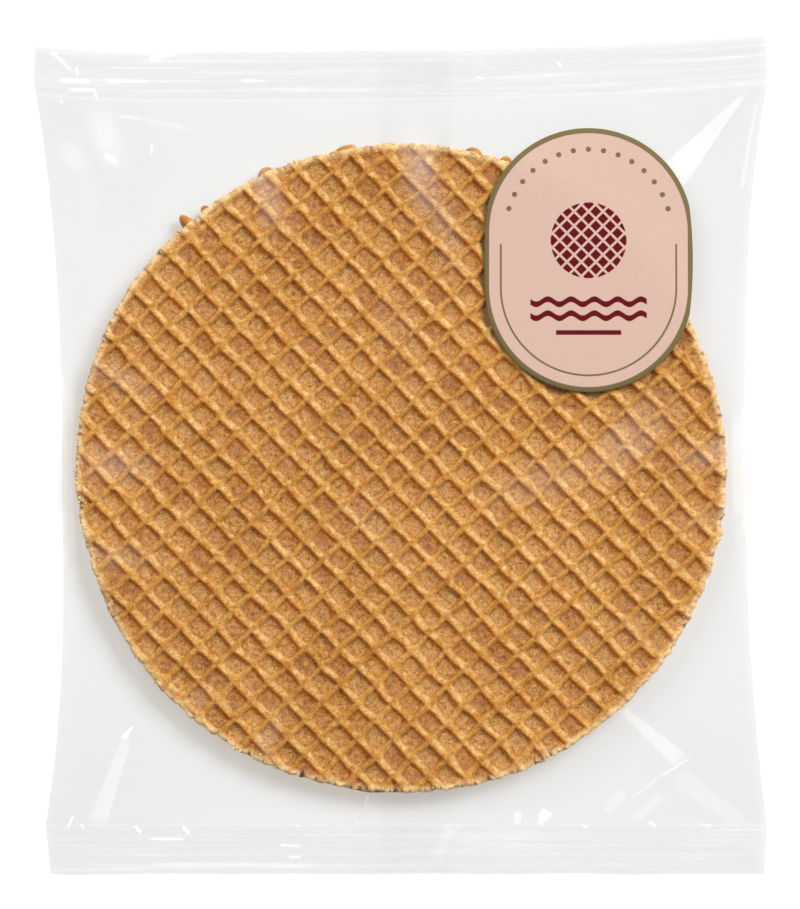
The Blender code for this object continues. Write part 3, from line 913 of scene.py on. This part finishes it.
def film_highlights_ripple():
    """Shader node group for every film: its painted highlights, streaked along the seals, and its faint ripple."""
    number = "NodeSocketFloat"
    tree, w, given, result = new_tree("film_highlights_ripple", "ShaderNodeTree", {
        "Place": ("NodeSocketVector", None),
        "Pull Highlight": (number, 0.0),
        "Into Seal": (number, 1.0),
    }, {"Painted Highlight": (number, None), "Ripple": ("NodeSocketVector", None)})
    x, y, _ = w.split(given["Place"])
    into_seal = given["Into Seal"]
    # Painted highlights: streaks along the crimped seals, a faint line at each seal's inner edge, and the pulls'
    # glare.
    streak_place = w.join(w.times(x, 1.0 / 30.0), into_seal, w.math("SIGN", y))
    streaks = w.ramp(w.noise(streak_place, 1.3 * MM, 3.0, 0.6)[0], 0.46, 0.78, 0.0, 0.13)
    seal = w.ramp(into_seal, SEAL_LENGTH + 0.6 * MM, SEAL_LENGTH - 0.4 * MM)
    line = w.times(w.ramp(into_seal, SEAL_LENGTH + 0.5 * MM, SEAL_LENGTH),
                   w.ramp(into_seal, SEAL_LENGTH - 0.6 * MM, SEAL_LENGTH))
    cloud = w.noise(given["Place"], 5.0 * MM, 3.0)[0]
    sealed = w.add(w.times(seal, streaks, w.ramp(cloud, 0.36, 0.62, 0.5, 1.1)), w.times(line, 0.05))
    w.feed(result["Painted Highlight"], w.add(w.times(given["Pull Highlight"], w.ramp(cloud, 0.3, 0.7, 0.85, 1.10)), sealed))
    ripple = w.node("ShaderNodeBump", {"Strength": 0.2, "Distance": 0.3 * MM,
                                       "Height": w.noise(given["Place"], 14.0 * MM, 2.0, 0.4)[0]})
    w.feed(result["Ripple"], ripple.outputs[0])
    return tree


def film_material(name, marks_tree, passes, mirrors, facets=()):
    """Thin clear film: see-through, mirroring more at a slant, with white highlights painted where it is folded or
    stretched.
    """
    material, w, output = new_material(name)
    place = w.node("ShaderNodeTexCoord").outputs["Object"]
    x, y, _ = w.split(place)
    marks = w.node("ShaderNodeGroup", node_tree=marks_tree)
    w.feed(marks.inputs["Place"], place)
    w.feed(marks.inputs["Pull Highlight"], w.node("ShaderNodeAttribute", attribute_name="pull_highlight").outputs["Fac"])
    w.feed(marks.inputs["Into Seal"], w.node("ShaderNodeAttribute", attribute_name="into_seal").outputs["Fac"])
    painted_highlight, ripple = marks.outputs["Painted Highlight"], marks.outputs["Ripple"]
    flat_place = w.join(x, y, 1.0)
    for facet in facets:
        painted_highlight = w.add(painted_highlight, facet_highlight(w, flat_place, *facet))
    facing = w.node("ShaderNodeLayerWeight", {"Blend": 0.5, "Normal": ripple}).outputs["Facing"]
    mirror = w.add(mirrors, w.times(1.0 - mirrors, w.math("POWER", facing, 5.0)))
    clear = w.node("ShaderNodeBsdfTransparent", {"Color": (passes, passes, passes, 1.0)}).outputs[0]
    gloss = w.node("ShaderNodeBsdfAnisotropic", {"Color": (1.0, 1.0, 1.0, 1.0), "Roughness": 0.16,
                                                 "Normal": ripple}).outputs[0]
    sheet = w.mix_shader(mirror, clear, gloss)
    # The painted highlights are a white diffuse layer over the film.
    highlight_white = w.node("ShaderNodeBsdfDiffuse", {"Color": (0.97, 0.97, 0.97, 1.0)}).outputs[0]
    film = w.mix_shader(w.math("MINIMUM", painted_highlight, 1.0), sheet, highlight_white)
    lamp_share = passes ** 1.4
    for_lamps = w.node("ShaderNodeBsdfTransparent", {"Color": (lamp_share, lamp_share, lamp_share, 1.0)}).outputs[0]
    ray = w.node("ShaderNodeLightPath").outputs
    w.feed(output, w.mix_shader(ray["Is Shadow Ray"], w.mix_shader(ray["Is Diffuse Ray"], film, for_lamps), for_lamps))
    return material


def add_values(piece, name, upper, lower):
    """Store a value for each point of the film's upper sheet, then of its lower one."""
    values = np.concatenate((upper.ravel(), lower.ravel())).astype(np.float32)
    piece.data.attributes.new(name, "FLOAT", "POINT").data.foreach_set("value", values)


def crease_corners(film, marks_tree):
    """Give the upper sheet, beyond the waffle, the film with each corner's own painted facet highlights."""
    count = len(film.data.polygons)
    centre, normal = np.empty(3 * count), np.empty(3 * count)
    film.data.polygons.foreach_get("center", centre)
    film.data.polygons.foreach_get("normal", normal)
    x, y, _ = centre.reshape(-1, 3).T
    beyond = np.hypot(x - WAFFLE_CENTRE[0], y - WAFFLE_CENTRE[1]) > WAFFLE_RADIUS - 3.0 * MM
    upper = normal.reshape(-1, 3)[:, 2] > 0.3
    index = np.zeros(count, dtype=np.int32)
    for corner, facets in FACETS.items():
        film.data.materials.append(film_material("film_" + corner, marks_tree, *FILM_CLEARNESS, facets))
        side, end = (-1 if "left" in corner else 1), (-1 if "lower" in corner else 1)
        index[upper & beyond & (side * x > 0.0) & (end * y > 0.0)] = len(film.data.materials) - 1
    film.data.polygons.foreach_set("material_index", index)


def make_film():
    across, row = np.meshgrid(np.linspace(0.0, 1.0, FILM_STEPS_ACROSS + 1), film_rows())
    ends = [side_edge(side, CUT_HALF_LENGTH) for side in (-1, 1)]
    x = ends[0] + (ends[1] - ends[0]) * across
    y = -CUT_HALF_LENGTH + (top_cut(x) + CUT_HALF_LENGTH) * row
    x = side_edge(-1, y) + (side_edge(1, y) - side_edge(-1, y)) * across
    free = np.clip(label_distance(x, y) / (1.5 * MM), 0.0, 1.0)
    folds, pull_highlight = fold_relief(x, y)
    ribs = seal_relief(x, y)
    open_share = np.clip(tent_share(x, y) * 12.0, 0.0, 1.0)
    sway = 0.05 * MM * soft_waves(x, y, 40, 9 * MM, 40 * MM, 3) + rim_wrinkles(x, y)
    upper = front_height(x, y) + (folds + sway) * free * np.maximum(open_share, 0.3) + ribs
    lower = back_height(x, y) + ribs
    ragged = 0.10 * MM * soft_waves(x, y, 20, 1.5 * MM, 12 * MM, 9) + 0.16 * MM * soft_waves(x, y, 6, 20 * MM, 60 * MM, 4)
    y = y + ragged * np.clip(1.0 - to_cut(x, y) / (1.0 * MM), 0.0, 1.0) * np.sign(y)
    marks_tree = film_highlights_ripple()
    clear_film = film_material("clear_film", marks_tree, *FILM_CLEARNESS)
    film = sheet_pair_piece("bag_film", x, y, upper, lower, clear_film)
    crease_corners(film, marks_tree)
    # Painted highlight of the pulls, on the upper sheet only.
    add_values(film, "pull_highlight", np.clip(pull_highlight * free, 0.0, 1.0), np.zeros_like(x))
    add_values(film, "into_seal", to_cut(x, y), to_cut(x, y))
    finish_piece(film, ["film_bag"])

    # The fin: both edges of the film, sealed together and laid flat along the back.
    y, x = np.meshgrid(np.linspace(-CUT_HALF_LENGTH, top_cut(0.0), 240), np.linspace(*FIN_EDGES, 24), indexing="ij")
    below = back_height(x, y)
    fin = sheet_pair_piece("back_fin", x, y, below - 0.03 * MM, below - 0.09 * MM,
                           film_material("joined_film", marks_tree, 0.998, 0.004))
    add_values(fin, "pull_highlight", np.zeros_like(x), np.zeros_like(x))
    add_values(fin, "into_seal", np.ones_like(x), np.ones_like(x))
    finish_piece(fin, ["film_bag"])


# ---------------------------------------------------------------------------------------------
# The sticker
# ---------------------------------------------------------------------------------------------
def label_material():
    """Pink paper with an olive rim, a fine inner line, a row of dots, a waffle disc and waves."""
    material, w, output = new_material("printed_label")
    place = w.vector("SUBTRACT", w.node("ShaderNodeTexCoord").outputs["Object"], (*LABEL_CENTRE, 0.0))
    x, y, _ = w.split(place)
    half = LABEL_STRAIGHT / 2

    def within(value, low, high, blur=0.05 * MM):
        return w.times(w.ramp(value, low - blur, low + blur), w.ramp(value, high + blur, high - blur))

    def ring(distance, middle, width):
        return within(distance, middle - width / 2, middle + width / 2)

    beyond = w.math("MAXIMUM", w.less(w.math("ABSOLUTE", y), half), 0.0)
    outward = w.vector("LENGTH", w.join(x, beyond, 0.0))
    rim = w.ramp(outward, LABEL_RADIUS - 1.15 * MM, LABEL_RADIUS - 1.05 * MM)
    line_low = w.ramp(y, 3.5 * MM, 3.3 * MM)
    line = w.times(ring(outward, LABEL_RADIUS - 3.6 * MM, 0.42 * MM), line_low)

    # Dots along the upper arc.
    dot_step = math.radians(10.5)
    above = w.less(y, half)
    angle = w.math("ARCTAN2", x, above)
    nearest = w.times(w.math("ROUND", w.math("DIVIDE", angle, dot_step)), dot_step)
    arc = LABEL_RADIUS - 4.6 * MM
    dot_x = w.less(x, w.times(arc, w.math("SINE", nearest)))
    dot_y = w.less(above, w.times(arc, w.math("COSINE", nearest)))
    from_dot = w.vector("LENGTH", w.join(dot_x, dot_y, 0.0))
    dots = w.times(w.ramp(from_dot, 0.62 * MM, 0.52 * MM), w.ramp(w.math("ABSOLUTE", angle), 1.45, 1.40))

    # A round waffle in the middle, with crossing gaps.
    disc_y = w.less(y, 4.2 * MM)
    disc = w.ramp(w.vector("LENGTH", w.join(x, disc_y, 0.0)), 8.2 * MM, 8.1 * MM)

    def gaps(value):
        share = w.math("DIVIDE", value, 3.1 * MM)
        off = w.math("ABSOLUTE", w.less(w.math("FRACT", w.add(share, 100.5)), 0.5))
        return w.ramp(off, 0.10, 0.13)

    lattice = w.times(gaps(w.add(x, disc_y)), gaps(w.less(x, disc_y)))
    disc = w.times(disc, lattice)

    # Two waves and a short bar below.
    waves = 0.0
    for level, reach in ((-9.0, 12.5), (-12.0, 12.5)):
        swing = w.times(0.55 * MM, w.math("SINE", w.times(x, 2.0 * math.pi / (5.0 * MM))))
        wave = ring(w.less(y, swing), level * MM, 1.25 * MM)
        waves = w.math("MAXIMUM", waves, w.times(wave, within(x, -reach * MM, reach * MM)))
    bar = w.times(ring(y, -15.6 * MM, 1.0 * MM), within(x, -7.0 * MM, 7.0 * MM))
    maroon = w.math("MAXIMUM", w.math("MAXIMUM", disc, waves), bar)
    olive = w.math("MAXIMUM", w.math("MAXIMUM", rim, line), dots)

    fibre = w.ramp(w.noise(place, 1.2 * MM, 4.0, 0.6)[0], 0.3, 0.7, 0.985, 1.015)
    paper = w.mix(1.0, srgb(194, 163, 149), w.join(fibre, fibre, fibre), blend="MULTIPLY")
    colour = w.mix(olive, paper, srgb(110, 97, 64))
    colour = w.mix(maroon, colour, srgb(92, 18, 26))
    bump = w.node("ShaderNodeBump", {"Strength": 0.4, "Distance": 0.05 * MM,
                                     "Height": w.noise(place, 0.8 * MM, 3.0)[0]})
    shader = w.node("ShaderNodeBsdfPrincipled", {"Base Color": colour, "Roughness": 0.75,
                                                 "Specular IOR Level": 0.12, "Normal": bump.outputs[0]})
    w.feed(output, shader.outputs[0])
    return material


def make_label():
    angle = np.linspace(0.0, 2.0 * math.pi, 240, endpoint=False)
    out_x = LABEL_RADIUS * np.cos(angle)
    out_y = LABEL_RADIUS * np.sin(angle) + 0.5 * LABEL_STRAIGHT * np.clip(4.0 * np.sin(angle), -1.0, 1.0)

    def ring(share, lift):
        x, y = LABEL_CENTRE[0] + share * out_x, LABEL_CENTRE[1] + share * out_y
        return np.stack((x, y, front_height(x, y) + lift), axis=-1)

    shares = np.linspace(0.04, 1.0, 24)
    under = [ring(share, LABEL_GAP) for share in shares]
    edge = [ring(1.0, LABEL_GAP + LABEL_THICKNESS * 0.5)]
    over = [ring(min(share, 0.9975), LABEL_GAP + LABEL_THICKNESS) for share in shares[::-1]]
    label = ringed_piece("label_sticker", under + edge + over, label_material())
    finish_piece(label, ["label"])


# ---------------------------------------------------------------------------------------------
# Studio
# ---------------------------------------------------------------------------------------------
def add_floor():
    mesh = bpy.data.meshes.new("floor")
    shape = bmesh.new()
    bmesh.ops.create_grid(shape, x_segments=1, y_segments=1, size=1.5)
    shape.to_mesh(mesh)
    shape.free()
    floor = bpy.data.objects.new("floor", mesh)
    scene.collection.objects.link(floor)
    material, w, output = new_material("floor_white")
    shader = w.node("ShaderNodeBsdfPrincipled", {"Base Color": (0.430, 0.465, 0.512, 1.0), "Roughness": 0.9,
                                                 "Specular IOR Level": 0.1, "Emission Strength": 0.56,
                                                 "Emission Color": (1.0, 0.935, 0.835, 1.0)})
    w.feed(output, shader.outputs[0])
    mesh.materials.append(material)


def add_softbox(name, azimuth, elevation, distance, size, power):
    """Area light aimed at the waffle, not mirrored in the film; azimuth runs anticlockwise from +X."""
    light = bpy.data.lights.new(name, "AREA")
    light.shape = "RECTANGLE"
    light.size, light.size_y = size
    light.energy = power
    lamp = bpy.data.objects.new(name, light)
    scene.collection.objects.link(lamp)
    azimuth, elevation = math.radians(azimuth), math.radians(elevation)
    direction = Vector((math.cos(elevation) * math.cos(azimuth), math.cos(elevation) * math.sin(azimuth),
                        math.sin(elevation)))
    lamp.location = direction * distance
    lamp.rotation_euler = direction.to_track_quat("Z", "Y").to_euler()
    lamp.visible_glossy = False


def add_lights():
    world = bpy.data.worlds.new("studio")
    scene.world = world
    world.use_nodes = True
    w = Wiring(world.node_tree)
    upward = w.split(w.node("ShaderNodeTexCoord").outputs["Generated"])[2]
    tent = w.ramp(upward, 0.98, 0.90, 0.03, 0.34)
    w.feed(world.node_tree.nodes["Background"].inputs["Color"], w.join(tent, tent, tent))
    add_softbox("key", 42.0, 46.0, 3.0, (1.4, 1.4), 107.0)
    add_softbox("fill", 126.0, 40.0, 3.0, (1.8, 1.8), 42.0)
    scene.view_settings.view_transform = "Standard"


def add_camera():
    camera = bpy.data.cameras.new("camera")
    camera.sensor_fit = "VERTICAL"
    camera.sensor_height = 36.0
    distance = 1.1
    frame_height = 909 * 0.216 * MM
    camera.lens = camera.sensor_height * distance / frame_height
    camera.clip_start = 0.01
    eye = bpy.data.objects.new("camera", camera)
    scene.collection.objects.link(eye)
    eye.location = (0.0, 0.0, distance)
    scene.camera = eye


make_wafers()
make_syrup()
make_film()
make_label()
add_floor()
add_lights()
add_camera()
